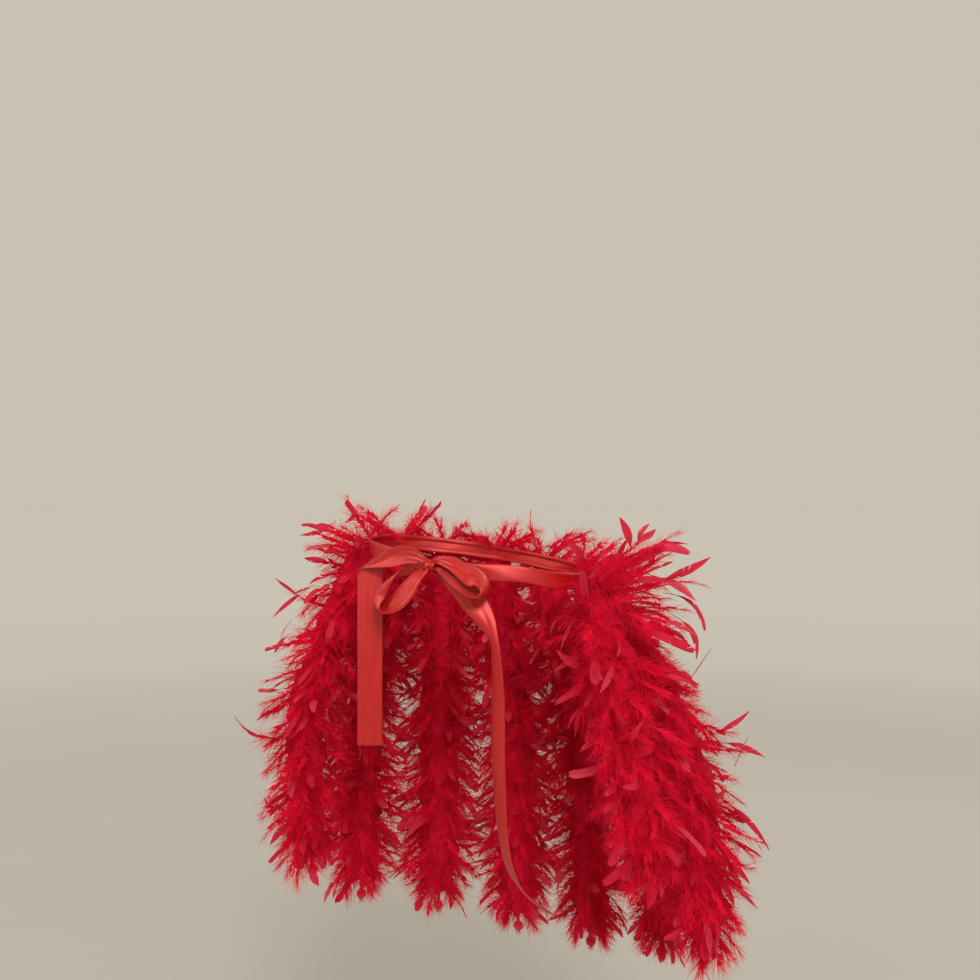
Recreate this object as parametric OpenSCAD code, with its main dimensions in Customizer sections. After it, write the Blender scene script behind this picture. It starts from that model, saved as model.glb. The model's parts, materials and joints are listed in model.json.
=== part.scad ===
// Feather-boa hip skirt: strands of feather boa sewn along a satin ribbon that is tied round the
// waist in a bow. Origin: centre of the waist loop, at mid height of the ribbon. +Z up, -Y front.
// The wearer's left is +X. Millimetres.

/* [Waist] */
// Half of the waist loop's width, hip to hip
waist_half_width = 120; // [105:1:140]
// Half of the waist loop's depth, front to back
waist_half_depth = 92; // [85:1:110]
// How far the loop dips towards the wearer's left, in degrees
waist_dip = 8; // [0:1:10]

/* [Ribbon] */
// Width of the satin ribbon
ribbon_w = 25; // [20:1:28]
// Thickness that a single layer of ribbon is given
ribbon_t = 1; // [0.8:0.1:1.2]
// Height of the ribbon round the waist, where its edges are folded in
band_h = 17; // [14:1:18]
// Thickness of the folded ribbon round the waist
band_t = 1.6; // [1.2:0.1:2]
// Length of the straight tail at the wearer's right that the bow's loop holds against the hip
left_tail_held = 52; // [50:1:70]
// Length of the straight tail that hangs free
left_tail_l = 124; // [80:1:180]

/* [Strands] */
// Radius of the feathers about their cord
feather_r = 52; // [40:1:56]
// Height of the topmost feathers above the loop's centre
crown_top = 48; // [40:1:60]
// Diameter of the cord that the feathers are wound on
cord_d = 5; // [3:0.5:6]
// Distance between two whorls of feathers along the cord
whorl_pitch = 24; // [22:1:30]
// Furthest that a strand swings out from the hip, in degrees
swing_max = 40; // [20:1:40]
// Furthest that a strand's lower half bends out, in degrees
flex_max = 60; // [30:1:60]
// Radius of the knot at the end of each cord
end_knot_r = 6; // [4:0.5:8]

/* [Hidden] */
$fn = 48;

// One row per strand, from the wearer's left hip round the back to the right hip: the direction it
// faces, how far its middle and its end stand off the loop, and the height of its end.
STRANDS = [
    [-5, 50, 64, -305],
    [28, 98, 116, -412],
    [56, 98, 116, -450],
    [79.5, 90, 108, -470],
    [100.5, 90, 108, -470],
    [124, 94, 112, -450],
    [152, 95, 106, -420],
    [185, 88, 82, -358]
];
strand_count = len(STRANDS);

strand_names = [
    for (k = [1:strand_count], part = ["upper_cord", "upper_feathers", "lower_cord", "lower_feathers", "end_knot"])
        str("strand_", k, "_", part)
];

// The cord's top hangs this far outside the waist ribbon, on its stitch.
stitch_gap = 4;
// Share of a strand's drop at which it bends.
bend_share = 0.48;
// Flat side of the feathers, towards the body, from the cord's axis.
back_flat = 11;
// Room round the stitch, so that the swinging feathers pass over the waist ribbon.
stitch_room_r = 13;
// The crown, a cone of feathers above the stitch, leans out so that it clears the waist as it swings.
crown_lean = 0.3 * swing_max;
crown_out = 12;
crown_foot_drop = 8;
crown_foot_r = 23;
crown_tip_r = 11;
// How far the feathers at the stitch may stand behind the cord's axis, over the waist ribbon.
crown_back = 1.5;
// Half of the slit between the upper and lower feathers at the bend.
bend_slit = 0.6;
// Feathers start and stop this far along the cord.
upper_from = 10;
lower_from = 5;
// Half of the space between the feathers of two strands.
cell_gap = 0.5;
// The two outermost cells open this far past their strand: in degrees, and in millimetres at the ribbon.
end_cell_turn = 16;
end_cell_room = 14;
// Clearance between a cord and the feathers round it.
bore_gap = 0.3;
core_r = 20;
// One collar of feathers: how far down the cord its outer edge starts and ends, and its foot ends.
collar_rim_from = 13;
collar_rim_to = 19;
collar_foot = 8;
// The last collar on a cord is smaller by this much.
last_collar_less = 8;
// Thread of the stitches, its bore through the cord, and the distance between its two legs.
stitch_r = 0.6;
stitch_bore_r = 0.8;
stitch_bar_l = 8.4;
stitch_leg_gap = 7.2;
stitch_clear = 0.3;
big = 400;

satin = [0.87, 0.20, 0.17];
crimson = [0.78, 0.08, 0.18];
cord_red = [0.55, 0.05, 0.10];

// The waist ribbon's outer outline, seen from above
outer_a = waist_half_width + band_t;
outer_b = waist_half_depth + band_t;
function outline_angle(facing) = atan2(outer_b * sin(facing), outer_a * cos(facing));
function outline_point(facing, off = 0) =
    let (t = outline_angle(facing))
    [outer_a * cos(t) + off * cos(facing), outer_b * sin(t) + off * sin(facing)];

// Each strand's own numbers
function facing(k) = STRANDS[k][0];
function stitch_xy(k) = outline_point(facing(k), stitch_gap);
function stitch_z(k) = -tan(waist_dip) * stitch_xy(k)[0];
function end_z(k) = STRANDS[k][3];
function bend_z(k) = stitch_z(k) + bend_share * (end_z(k) - stitch_z(k));
function upper_out(k) = STRANDS[k][1] - stitch_gap;
function lower_out(k) = STRANDS[k][2] - STRANDS[k][1];
function upper_drop(k) = stitch_z(k) - bend_z(k);
function lower_drop(k) = bend_z(k) - end_z(k);
function upper_tilt(k) = atan2(upper_out(k), upper_drop(k));
function lower_tilt(k) = atan2(lower_out(k), lower_drop(k));
function upper_l(k) = norm([upper_out(k), upper_drop(k)]);
function lower_l(k) = norm([lower_out(k), lower_drop(k)]);

// Turns a strand's own frame, with x outwards and z up from its stitch, into place.
module at_stitch(k) {
    translate([stitch_xy(k)[0], stitch_xy(k)[1], stitch_z(k)])
        rotate([0, 0, facing(k)])
            children();
}
module at_bend(k) {
    at_stitch(k)
        translate([upper_out(k), 0, -upper_drop(k)])
            children();
}

// The upright cell that a strand's feathers keep to: two straight sides that part outwards
function side_facing(k) =
    k < 0 ? facing(0) - end_cell_turn :
    k > strand_count - 2 ? facing(strand_count - 1) + end_cell_turn :
    (facing(k) + facing(k + 1)) / 2;
function side_line(k, shift) =
    let (f = side_facing(k), across = [-sin(f), cos(f)] * shift, along = [cos(f), sin(f)])
    [outline_point(f, -30) + across, outline_point(f) + along * big + across];
module cell(k) {
    low = side_line(k - 1, k == 0 ? -end_cell_room : cell_gap);
    high = side_line(k, k == strand_count - 1 ? end_cell_room : -cell_gap);
    translate([0, 0, -2 * big])
        linear_extrude(3 * big)
            polygon([low[0], low[1], high[1], high[0]]);
}

// Whorls of feathers round a cord that runs down from z = 0: a core with slanting collars
function whorl(s, r) = [
    [core_r, -s],
    [r, -s - collar_rim_from],
    [r, -s - collar_rim_to],
    [core_r, -s - collar_foot]
];
module whorls(from, to, bore_r) {
    last = to - collar_rim_to - 1;
    top = collar_foot - from - 2;
    profile = concat(
        [[bore_r, top], [core_r, top]],
        [
            for (s = [from:whorl_pitch:last])
                each whorl(s, s > last - whorl_pitch ? feather_r - last_collar_less : feather_r)
        ],
        [[core_r, -to], [bore_r, -to]]
    );
    rotate_extrude()
        polygon(profile);
}

// The same cell as seen from a strand that has swung right out, so that its feathers stay in their cell
module swung_cell(k) {
    at_stitch(k)
        rotate([0, swing_max, 0])
            rotate([0, 0, -facing(k)])
                translate([-stitch_xy(k)[0], -stitch_xy(k)[1], -stitch_z(k)])
                    cell(k);
}

module upper_cord(k) {
    color(cord_red)
        at_stitch(k)
            difference() {
                rotate([0, -upper_tilt(k), 0]) {
                    sphere(cord_d / 2);
                    translate([0, 0, cord_d / 2 + bend_slit - upper_l(k)])
                        cylinder(h = upper_l(k) - cord_d / 2 - bend_slit, d = cord_d);
                }
                rotate([90, 0, 0])
                    cylinder(h = cord_d * 2, r = stitch_bore_r, center = true);
            }
}

module upper_feathers(k) {
    crown_h = crown_top - stitch_z(k);
    color(crimson)
        intersection() {
            at_stitch(k)
                difference() {
                    union() {
                        rotate([0, -upper_tilt(k), 0])
                            whorls(upper_from, upper_l(k), cord_d / 2 + bore_gap);
                        translate([crown_out, 0, -crown_foot_drop])
                            rotate([0, crown_lean, 0])
                                cylinder(h = crown_h + crown_foot_drop, r1 = crown_foot_r, r2 = crown_tip_r);
                    }
                    // flat against the hip
                    rotate([0, -upper_tilt(k), 0])
                        translate([-big - back_flat, -big, -big])
                            cube([big, 2 * big, big]);
                    translate([-big - crown_back, -big, -big])
                        cube([big, 2 * big, 2 * big]);
                    // room to swing over the waist ribbon
                    rotate([90, 0, 0])
                        cylinder(h = 2 * big, r = stitch_room_r, center = true);
                    // half of the room that the bend takes
                    translate([upper_out(k), big, -upper_drop(k)])
                        rotate([90, 0, 0])
                            linear_extrude(2 * big)
                                polygon([
                                    [-big, bend_slit],
                                    [0, bend_slit],
                                    [big, bend_slit + big * tan(flex_max / 2)],
                                    [big, -big],
                                    [-big, -big]
                                ]);
                }
            cell(k);
            swung_cell(k);
        }
}

module lower_cord(k) {
    color(cord_red)
        at_bend(k)
            rotate([0, -lower_tilt(k), 0]) {
                sphere(cord_d / 2);
                translate([0, 0, -lower_l(k) + 2 * end_knot_r])
                    cylinder(h = lower_l(k) - 2 * end_knot_r, d = cord_d);
            }
}

module end_knot(k) {
    color(cord_red)
        at_bend(k)
            rotate([0, -lower_tilt(k), 0])
                translate([0, 0, -lower_l(k) + end_knot_r - 0.1])
                    sphere(end_knot_r);
}

module lower_feathers(k) {
    color(crimson)
        intersection() {
            at_bend(k)
                difference() {
                    rotate([0, -lower_tilt(k), 0])
                        whorls(lower_from, lower_l(k) - 2 * end_knot_r - 1, cord_d / 2 + bore_gap);
                    rotate([0, -lower_tilt(k), 0])
                        translate([-big - back_flat, -big, -big])
                            cube([big, 2 * big, 2 * big]);
                    translate([0, big, 0])
                        rotate([90, 0, 0])
                            linear_extrude(2 * big)
                                polygon([
                                    [-big, -bend_slit],
                                    [0, -bend_slit],
                                    [big, -bend_slit - big * tan(flex_max / 2)],
                                    [big, big],
                                    [-big, big]
                                ]);
                }
            cell(k);
        }
}

// Thread that holds each cord's top: a bar through the cord and two legs back to the ribbon
module strand_stitches() {
    color(cord_red)
        for (k = [0:strand_count - 1])
            at_stitch(k) {
                rotate([90, 0, 0])
                    cylinder(h = stitch_bar_l, r = stitch_r, center = true);
                for (side = [-1, 1])
                    translate([stitch_clear - stitch_gap, side * stitch_leg_gap / 2, 0])
                        rotate([0, 90, 0])
                            cylinder(h = stitch_gap - stitch_clear, r = stitch_r);
            }
}

module outline(a, b) {
    polygon([for (t = [0:3.75:359]) [a * cos(t), b * sin(t)]]);
}
module waist_ribbon() {
    slope = 1 / cos(waist_dip);
    color(satin)
        rotate([0, waist_dip, 0])
            linear_extrude(band_h, center = true)
                difference() {
                    outline(outer_a * slope, outer_b);
                    outline(outer_a * slope - band_t, outer_b - band_t);
                }
}

// A length of ribbon along stations [middle, half of the ribbon's width as a vector]
function along(s, i) = s[min(i + 1, len(s) - 1)][0] - s[max(i - 1, 0)][0];
function across_ring(s, i) =
    let (
        p = s[i][0],
        w = s[i][1],
        n = cross(along(s, i), w) * ribbon_t / 2 / norm(cross(along(s, i), w))
    )
    [p - w - n, p + w - n, p + w + n, p - w + n];
module ribbon_length(s) {
    points = [for (i = [0:len(s) - 1], p = across_ring(s, i)) p];
    last = 4 * (len(s) - 1);
    sides = [
        for (i = [0:len(s) - 2], j = [0:3])
            let (a = 4 * i + j, d = 4 * i + (j + 1) % 4)
            each [[a, a + 4, d + 4], [a, d + 4, d]]
    ];
    ends = [[0, 1, 2], [0, 2, 3], [last + 2, last + 1, last], [last + 3, last + 2, last]];
    color(satin)
        polyhedron(points, concat(sides, ends));
}

knot_y = -outer_b - 8;
// Space in a ribbon where its free length starts to swing
fold_gap = 1.5;
thread_l = 15;
thread_r = 0.4;
RIGHT_LOOP = [
    [[9, -101, 3], [0, -3, 6]],
    [[20, -105, 9], [-1, -6, 7]],
    [[36, -106, 9], [-1, -7, 7]],
    [[54, -104, 2], [1, -7, 6]],
    [[66, -105, -6], [4, -8, 3]],
    [[70, -109, -15], [5, -8, -3]],
    [[63, -113, -22], [1, -7, -7]],
    [[47, -114, -18], [-2, -6, -8]],
    [[29, -111, -10], [-3, -5, -7]],
    [[12, -106, -5], [-1, -3, -4]]
];
LEFT_LOOP = [
    [[-9, -104, -3], [0, -3, 4]],
    [[-22, -107, -3], [1, -5, 4]],
    [[-38, -106, -9], [2, -6, 3]],
    [[-54, -103, -20], [5, -6, 0]],
    [[-66, -101, -34], [8, -5, 3]],
    [[-67, -103, -46], [7, -8, -2]],
    [[-55, -108, -49], [4, -8, -7]],
    [[-37, -112, -40], [-6, -6, -7]],
    [[-21, -112, -26], [-7, -5, -5]],
    [[-10, -108, -11], [-3, -3, -2]]
];
LEFT_LEAD = [
    [[-9, -97, 4], [-1, -2, 5]],
    [[-22, -98, 10], [-1, -3, 8]],
    [[-40, -96, 9], [0, -3, 9]],
    [[-60, -91, 5], [1, -3, 7]],
    [[-80, -84, -1], [2, -3, 4]]
];
RIGHT_LEAD = [
    [[9, -97, -5], [4, -1, 4]],
    [[22, -98, -11], [6, -1, 6]],
    [[38, -98, -24], [7, -1, 6]],
    [[52, -97, -39], [8, -1, 4]]
];
RIGHT_TAIL = [
    [[54, -97, -42], [8, -1, 4]],
    [[62, -96, -56], [8, -3, 3]],
    [[69, -95, -85], [9, -5, 0]],
    [[71, -94, -125], [10, -6, 0]],
    [[71, -94, -170], [10, -6, 0]],
    [[73, -94, -215], [10, -6, 1]],
    [[77, -95, -250], [9, -6, 2]],
    [[86, -97, -277], [8, -4, 5]],
    [[101, -97, -296], [5, -7, 5]],
    [[129, -96, -309], [2, -4, 2]]
];
// The straight tail hangs in front of the hip, turned this way from the front
tail_turn = 22;
tail_top = [-82, -81, -8];

module bow_knot() {
    color(satin)
        translate([0, knot_y, -1])
            intersection() {
                cube([15, 13, 17], center = true);
                rotate([90, 0, 0])
                    cylinder(h = 20, r = 9.4, center = true);
                sphere(10.5);
            }
}
module bow_loop_left() {
    ribbon_length(LEFT_LOOP);
}
module bow_loop_right() {
    ribbon_length(RIGHT_LOOP);
}
module left_tail_lead() {
    ribbon_length(LEFT_LEAD);
}
module flat_ribbon(from, length) {
    color(satin)
        translate(tail_top)
            rotate([0, 0, tail_turn])
                translate([-ribbon_w / 2, 0, -from - length])
                    cube([ribbon_w, ribbon_t, length]);
}
module left_tail_top() {
    flat_ribbon(0, left_tail_held);
}
module left_tail() {
    flat_ribbon(left_tail_held + fold_gap, left_tail_l);
}
module right_tail_lead() {
    ribbon_length(RIGHT_LEAD);
}
module right_tail() {
    ribbon_length(RIGHT_TAIL);
}
// A thread pulled out of the straight tail's cut end
module loose_thread() {
    color(satin)
        translate(tail_top)
            rotate([0, 0, tail_turn])
                translate([-9, ribbon_t / 2, -left_tail_held - fold_gap - left_tail_l - thread_l])
                    cylinder(h = thread_l - 0.1, r = thread_r);
}

waist_ribbon();
bow_knot();
bow_loop_left();
bow_loop_right();
left_tail_lead();
left_tail_top();
left_tail();
right_tail_lead();
right_tail();
loose_thread();
strand_stitches();
for (k = [0:strand_count - 1]) {
    upper_cord(k);
    upper_feathers(k);
    lower_cord(k);
    lower_feathers(k);
    end_knot(k);
}
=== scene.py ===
"""Looks of the feather-boa hip skirt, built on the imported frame. Metres, +Z up, -Y front."""

import json
import math

import bpy
import numpy as np
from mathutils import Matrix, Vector


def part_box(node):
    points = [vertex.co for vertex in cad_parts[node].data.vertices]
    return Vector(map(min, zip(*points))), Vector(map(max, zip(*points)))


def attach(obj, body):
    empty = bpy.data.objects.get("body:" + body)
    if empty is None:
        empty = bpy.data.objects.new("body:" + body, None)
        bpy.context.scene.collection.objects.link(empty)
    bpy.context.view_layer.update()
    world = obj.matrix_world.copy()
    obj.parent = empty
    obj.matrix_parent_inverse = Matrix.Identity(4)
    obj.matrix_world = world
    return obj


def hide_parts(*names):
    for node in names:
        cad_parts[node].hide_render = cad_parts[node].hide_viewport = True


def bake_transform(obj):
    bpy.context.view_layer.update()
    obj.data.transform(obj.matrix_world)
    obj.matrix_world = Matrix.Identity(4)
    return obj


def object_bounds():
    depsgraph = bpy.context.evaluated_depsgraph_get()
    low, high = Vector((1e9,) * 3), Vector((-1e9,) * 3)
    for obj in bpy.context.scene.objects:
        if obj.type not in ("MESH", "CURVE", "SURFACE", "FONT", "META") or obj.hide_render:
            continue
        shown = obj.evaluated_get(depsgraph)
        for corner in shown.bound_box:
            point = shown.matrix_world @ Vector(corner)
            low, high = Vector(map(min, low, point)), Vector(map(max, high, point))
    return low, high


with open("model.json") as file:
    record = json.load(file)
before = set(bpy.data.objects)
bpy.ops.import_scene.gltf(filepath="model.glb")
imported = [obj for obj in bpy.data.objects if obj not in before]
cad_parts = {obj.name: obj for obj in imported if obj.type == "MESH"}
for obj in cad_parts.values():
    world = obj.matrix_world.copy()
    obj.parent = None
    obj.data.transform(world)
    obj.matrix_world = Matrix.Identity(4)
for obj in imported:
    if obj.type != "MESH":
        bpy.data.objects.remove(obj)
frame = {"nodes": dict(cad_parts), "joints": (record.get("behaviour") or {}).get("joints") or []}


def box_as_lists():
    return [[float(c) for c in corner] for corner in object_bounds()]


cad_box = box_as_lists()
rng = np.random.default_rng(20)
UP = np.array([0.0, 0.0, 1.0])
JOINTS = {j["name"]: j for j in frame["joints"]}
STRAND_COUNT = 8

# ---------------------------------------------------------------- camera
CAMERA_AZIMUTH = math.radians(28)
CAMERA_DISTANCE = 1.03
CAMERA_HEIGHT = 0.06
CAMERA_PAN = math.radians(0.7)
CAMERA_TILT = math.radians(0.76)
CAMERA_LENS = 36.1


def make_camera():
    data = bpy.data.cameras.new("camera")
    data.lens = CAMERA_LENS
    data.sensor_width = 36
    camera = bpy.data.objects.new("camera", data)
    bpy.context.scene.collection.objects.link(camera)
    toward = Vector((math.sin(CAMERA_AZIMUTH), -math.cos(CAMERA_AZIMUTH), 0))
    right = Vector((math.cos(CAMERA_AZIMUTH), math.sin(CAMERA_AZIMUTH), 0))
    camera.location = toward * CAMERA_DISTANCE + Vector((0, 0, CAMERA_HEIGHT))
    look = right * math.sin(CAMERA_PAN) - toward * math.cos(CAMERA_PAN)
    look.z = math.tan(CAMERA_TILT)
    camera.rotation_euler = look.to_track_quat("-Z", "Y").to_euler()
    bpy.context.scene.camera = camera


make_camera()
bpy.context.scene.view_settings.view_transform = "Standard"


# ---------------------------------------------------------------- small tools
def unit(v):
    return v / np.maximum(np.linalg.norm(v, axis=-1, keepdims=True), 1e-9)


def new_object(name, verts, faces, material, smooth=True):
    mesh = bpy.data.meshes.new(name)
    mesh.from_pydata(verts.tolist() if hasattr(verts, "tolist") else verts, [], faces)
    mesh.polygons.foreach_set("use_smooth", [smooth] * len(mesh.polygons))
    mesh.materials.append(material)
    mesh.update()
    made = bpy.data.objects.new(name, mesh)
    bpy.context.scene.collection.objects.link(made)
    return made


def point_attribute(made, name, values):
    attribute = made.data.attributes.new(name, "FLOAT", "POINT")
    attribute.data.foreach_set("value", np.asarray(values, np.float32))


class Nodes:
    """Short calls for a material's nodes."""

    def __init__(self, name):
        self.material = bpy.data.materials.new(name)
        self.material.use_nodes = True
        self.tree = self.material.node_tree
        self.tree.nodes.clear()

    def add(self, kind, values=None, **settings):
        made = self.tree.nodes.new(kind)
        for key, value in settings.items():
            setattr(made, key, value)
        for key, value in (values or {}).items():
            if isinstance(value, bpy.types.NodeSocket):
                self.tree.links.new(value, made.inputs[key])
            else:
                made.inputs[key].default_value = value
        return made

    def attribute(self, name):
        return self.add("ShaderNodeAttribute", attribute_name=name).outputs["Fac"]

    def math(self, operation, a, b=0.0):
        return self.add("ShaderNodeMath", {0: a, 1: b}, operation=operation).outputs[0]

    def mix(self, factor, a, b, blend="MIX"):
        made = self.add("ShaderNodeMix", data_type="RGBA", blend_type=blend)
        for socket, value in ((made.inputs[0], factor), (made.inputs[6], a), (made.inputs[7], b)):
            if isinstance(value, bpy.types.NodeSocket):
                self.tree.links.new(value, socket)
            else:
                socket.default_value = value
        return made.outputs[2]

    def ramp(self, factor, stops):
        made = self.add("ShaderNodeValToRGB", {"Fac": factor})
        elements = made.color_ramp.elements
        while len(elements) < len(stops):
            elements.new(0.5)
        for element, (position, colour) in zip(elements, stops):
            element.position = position
            element.color = colour
        return made.outputs["Color"]

    def output(self, shader):
        self.add("ShaderNodeOutputMaterial", {"Surface": shader})
        return self.material


# ---------------------------------------------------------------- materials
def feather_material():
    n = Nodes("feathers")
    shade = n.attribute("shade")
    tip = n.attribute("tip")
    vane = n.attribute("vane")
    down = n.ramp(shade, [(0.0, (0.74, 0.003, 0.040, 1)), (0.5, (0.85, 0.006, 0.056, 1)),
                          (1.0, (0.92, 0.013, 0.080, 1))])
    # the quills have shade 0, and the vanes from 0.15
    flat = n.ramp(shade, [(0.0, (0.48, 0.005, 0.026, 1)), (0.15, (0.61, 0.012, 0.047, 1)),
                          (0.6, (0.72, 0.034, 0.084, 1)), (1.0, (0.80, 0.105, 0.160, 1))])
    colour = n.mix(vane, down, flat)
    place = n.add("ShaderNodeTexCoord").outputs["Object"]
    patches = n.add("ShaderNodeTexNoise", {"Vector": place, "Scale": 55.0, "Detail": 3.0}).outputs["Fac"]
    grain = n.add("ShaderNodeTexNoise", {"Vector": place, "Scale": 900.0, "Detail": 2.0}).outputs["Fac"]
    # painted shade: the colour darkens towards each feather's base, deep in the boa where shade falls, by the
    # tip value
    depth = n.ramp(tip, [(0.0, (0.74, 0.66, 0.68, 1)), (0.4, (0.96, 0.95, 0.95, 1)), (1.0, (1, 1, 1, 1))])
    colour = n.mix(1.0, colour, depth, "MULTIPLY")
    soft = n.ramp(patches, [(0.3, (0.88, 0.82, 0.84, 1)), (0.7, (1.06, 1.05, 1.05, 1))])
    colour = n.mix(1.0, colour, soft, "MULTIPLY")
    bump = n.add("ShaderNodeBump", {"Height": grain, "Strength": 0.2, "Distance": 0.0006})
    surface = n.add("ShaderNodeBsdfPrincipled", {
        "Base Color": colour, "Roughness": 0.65, "Specular IOR Level": 0.14,
        "Sheen Weight": 0.12, "Sheen Roughness": 0.5, "Sheen Tint": (1.0, 0.25, 0.35, 1),
        "Normal": bump.outputs[0]})
    through = n.add("ShaderNodeBsdfTranslucent", {"Color": colour})
    both = n.add("ShaderNodeMixShader", {0: 0.5, 1: surface.outputs[0], 2: through.outputs[0]})
    return n.output(both.outputs[0])


def satin_material():
    n = Nodes("satin")
    place = n.add("ShaderNodeUVMap", uv_map="ribbon").outputs["UV"]
    parts = n.add("ShaderNodeSeparateXYZ", {"Vector": place})
    across, along = parts.outputs["X"], parts.outputs["Y"]
    # the weft shows as fine ribs across the ribbon, the warp as finer threads along it
    ribs = n.math("SINE", n.math("MULTIPLY", along, 2 * math.pi / 0.0005))
    threads = n.math("SINE", n.math("MULTIPLY", across, 2 * math.pi / 0.00022))
    weave = n.math("ADD", n.math("MULTIPLY", ribs, 0.5), n.math("MULTIPLY", threads, 0.5))
    # soft creases and streaks of gloss run lengthwise
    stretched = n.add("ShaderNodeCombineXYZ", {"X": n.math("MULTIPLY", across, 260.0),
                                               "Y": n.math("MULTIPLY", along, 26.0)}).outputs[0]
    creases = n.add("ShaderNodeTexNoise", {"Vector": stretched, "Scale": 1.0, "Detail": 4.0,
                                           "Roughness": 0.6}).outputs["Fac"]
    # both woven edges, one millimetre wide
    edge = n.math("ABSOLUTE", n.math("SUBTRACT", across, 0.0125))
    edge = n.math("GREATER_THAN", edge, 0.0115)
    edge_ribs = n.math("MULTIPLY", edge, n.math("ADD", n.math("MULTIPLY", ribs, 0.8), 0.6))
    # painted light and shade: the colour follows the creases, lighter on their ridges and darker in their
    # hollows
    colour = n.ramp(creases, [(0.3, (0.46, 0.005, 0.007, 1)), (0.55, (0.54, 0.007, 0.009, 1)),
                              (0.8, (0.62, 0.014, 0.015, 1))])
    colour = n.mix(n.math("MULTIPLY", edge, 0.35), colour, (0.38, 0.008, 0.010, 1))
    height = n.math("ADD", n.math("MULTIPLY", weave, 0.35),
                    n.math("ADD", edge_ribs, n.math("MULTIPLY", creases, 2.5)))
    bump = n.add("ShaderNodeBump", {"Height": height, "Strength": 0.2, "Distance": 0.0003})
    rough = n.math("ADD", n.math("MULTIPLY", creases, 0.24), 0.26)
    # satin spreads its highlights across the warp
    tangent = n.add("ShaderNodeTangent", direction_type="UV_MAP", uv_map="ribbon").outputs[0]
    surface = n.add("ShaderNodeBsdfPrincipled", {
        "Base Color": colour, "Metallic": 0.30, "Roughness": rough, "Specular IOR Level": 1.0,
        "Specular Tint": (1.0, 0.80, 0.76, 1), "Anisotropic": 0.7, "Tangent": tangent,
        "Normal": bump.outputs[0]})
    through = n.add("ShaderNodeBsdfTranslucent", {"Color": colour})
    both = n.add("ShaderNodeMixShader", {0: 0.10, 1: surface.outputs[0], 2: through.outputs[0]})
    return n.output(both.outputs[0])


def cord_material(name, colour_low, colour_high, pitch):
    n = Nodes(name)
    place = n.add("ShaderNodeTexCoord").outputs["Object"]
    fibre = n.add("ShaderNodeTexNoise", {"Vector": place, "Scale": 1.0 / pitch, "Detail": 3.0}).outputs["Fac"]
    colour = n.ramp(fibre, [(0.3, colour_low), (0.7, colour_high)])
    bump = n.add("ShaderNodeBump", {"Height": fibre, "Strength": 0.5, "Distance": 0.0003})
    surface = n.add("ShaderNodeBsdfPrincipled", {
        "Base Color": colour, "Roughness": 0.75, "Specular IOR Level": 0.25, "Sheen Weight": 0.3,
        "Normal": bump.outputs[0]})
    return n.output(surface.outputs[0])


FEATHERS = feather_material()
SATIN = satin_material()
CORD = cord_material("cord", (0.46, 0.004, 0.022, 1), (0.70, 0.010, 0.044, 1), 0.0012)
THREAD = cord_material("thread", (0.42, 0.008, 0.014, 1), (0.66, 0.05, 0.05, 1), 0.0006)


# ---------------------------------------------------------------- strands: cords first
def middle(node):
    low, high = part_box(node)
    return (np.array(low) + np.array(high)) / 2


CORD_DIAMETER = 0.005
CORD_STEP = 0.002
CORNER = 0.045


class Strand:
    """One strand's line: from its stitch, round its bend, to its end knot."""

    def __init__(self, number):
        self.name = f"strand_{number}"
        self.upper = f"{self.name}_upper"
        self.lower = f"{self.name}_lower"
        swing = JOINTS[f"{self.name}_swing"]
        self.stitch = np.array(swing["pos_m"], float)
        self.bend = np.array(JOINTS[f"{self.name}_bend"]["pos_m"], float)
        self.end = middle(f"{self.name}_end_knot")
        axis = np.array(swing["axis"], float)
        self.out = unit(np.array([-axis[1], axis[0], 0.0]))
        first, second = unit(self.bend - self.stitch), unit(self.end - self.bend)
        self.blend_start = self.bend - first * CORNER
        self.blend_end = self.bend + second * CORNER
        t = np.linspace(0, 1, 40)[:, None]
        turn = (1 - t) ** 2 * self.blend_start + 2 * t * (1 - t) * self.bend + t * t * self.blend_end
        line = np.vstack([self.stitch, turn, self.end])
        lengths = np.concatenate([[0], np.cumsum(np.linalg.norm(np.diff(line, axis=0), axis=1))])
        self.length = float(lengths[-1])
        self.at = np.linspace(0, self.length, int(self.length / CORD_STEP))
        self.line = np.stack([np.interp(self.at, lengths, line[:, i]) for i in range(3)], axis=1)
        self.tangent = unit(np.gradient(self.line, axis=0))
        self.side = unit(np.cross(self.tangent, self.out))
        self.normal = np.cross(self.side, self.tangent)

    def sample(self, s):
        def read(values):
            return np.stack([np.interp(s, self.at, values[:, i]) for i in range(3)], axis=1)
        return read(self.line), unit(read(self.tangent)), unit(read(self.normal)), unit(read(self.side))

    def blend(self, piece):
        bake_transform(piece)


def tube_rings(line, normal, side, radii):
    """Rings of points round a line; radii has one row for each point and one column for each corner."""
    corners = radii.shape[1]
    angle = np.arange(corners) * 2 * math.pi / corners
    rings = (line[:, None, :]
             + radii[:, :, None] * (np.cos(angle)[None, :, None] * normal[:, None, :]
                                    + np.sin(angle)[None, :, None] * side[:, None, :]))
    return rings.reshape(-1, 3)


def tube_faces(rings, corners, start=0, caps=True):
    faces = []
    for i in range(rings - 1):
        for j in range(corners):
            a = start + i * corners + j
            b = start + i * corners + (j + 1) % corners
            faces.append((a, b, b + corners, a + corners))
    if caps:
        faces.append(tuple(start + j for j in reversed(range(corners))))
        faces.append(tuple(start + (rings - 1) * corners + j for j in range(corners)))
    return faces


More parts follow.
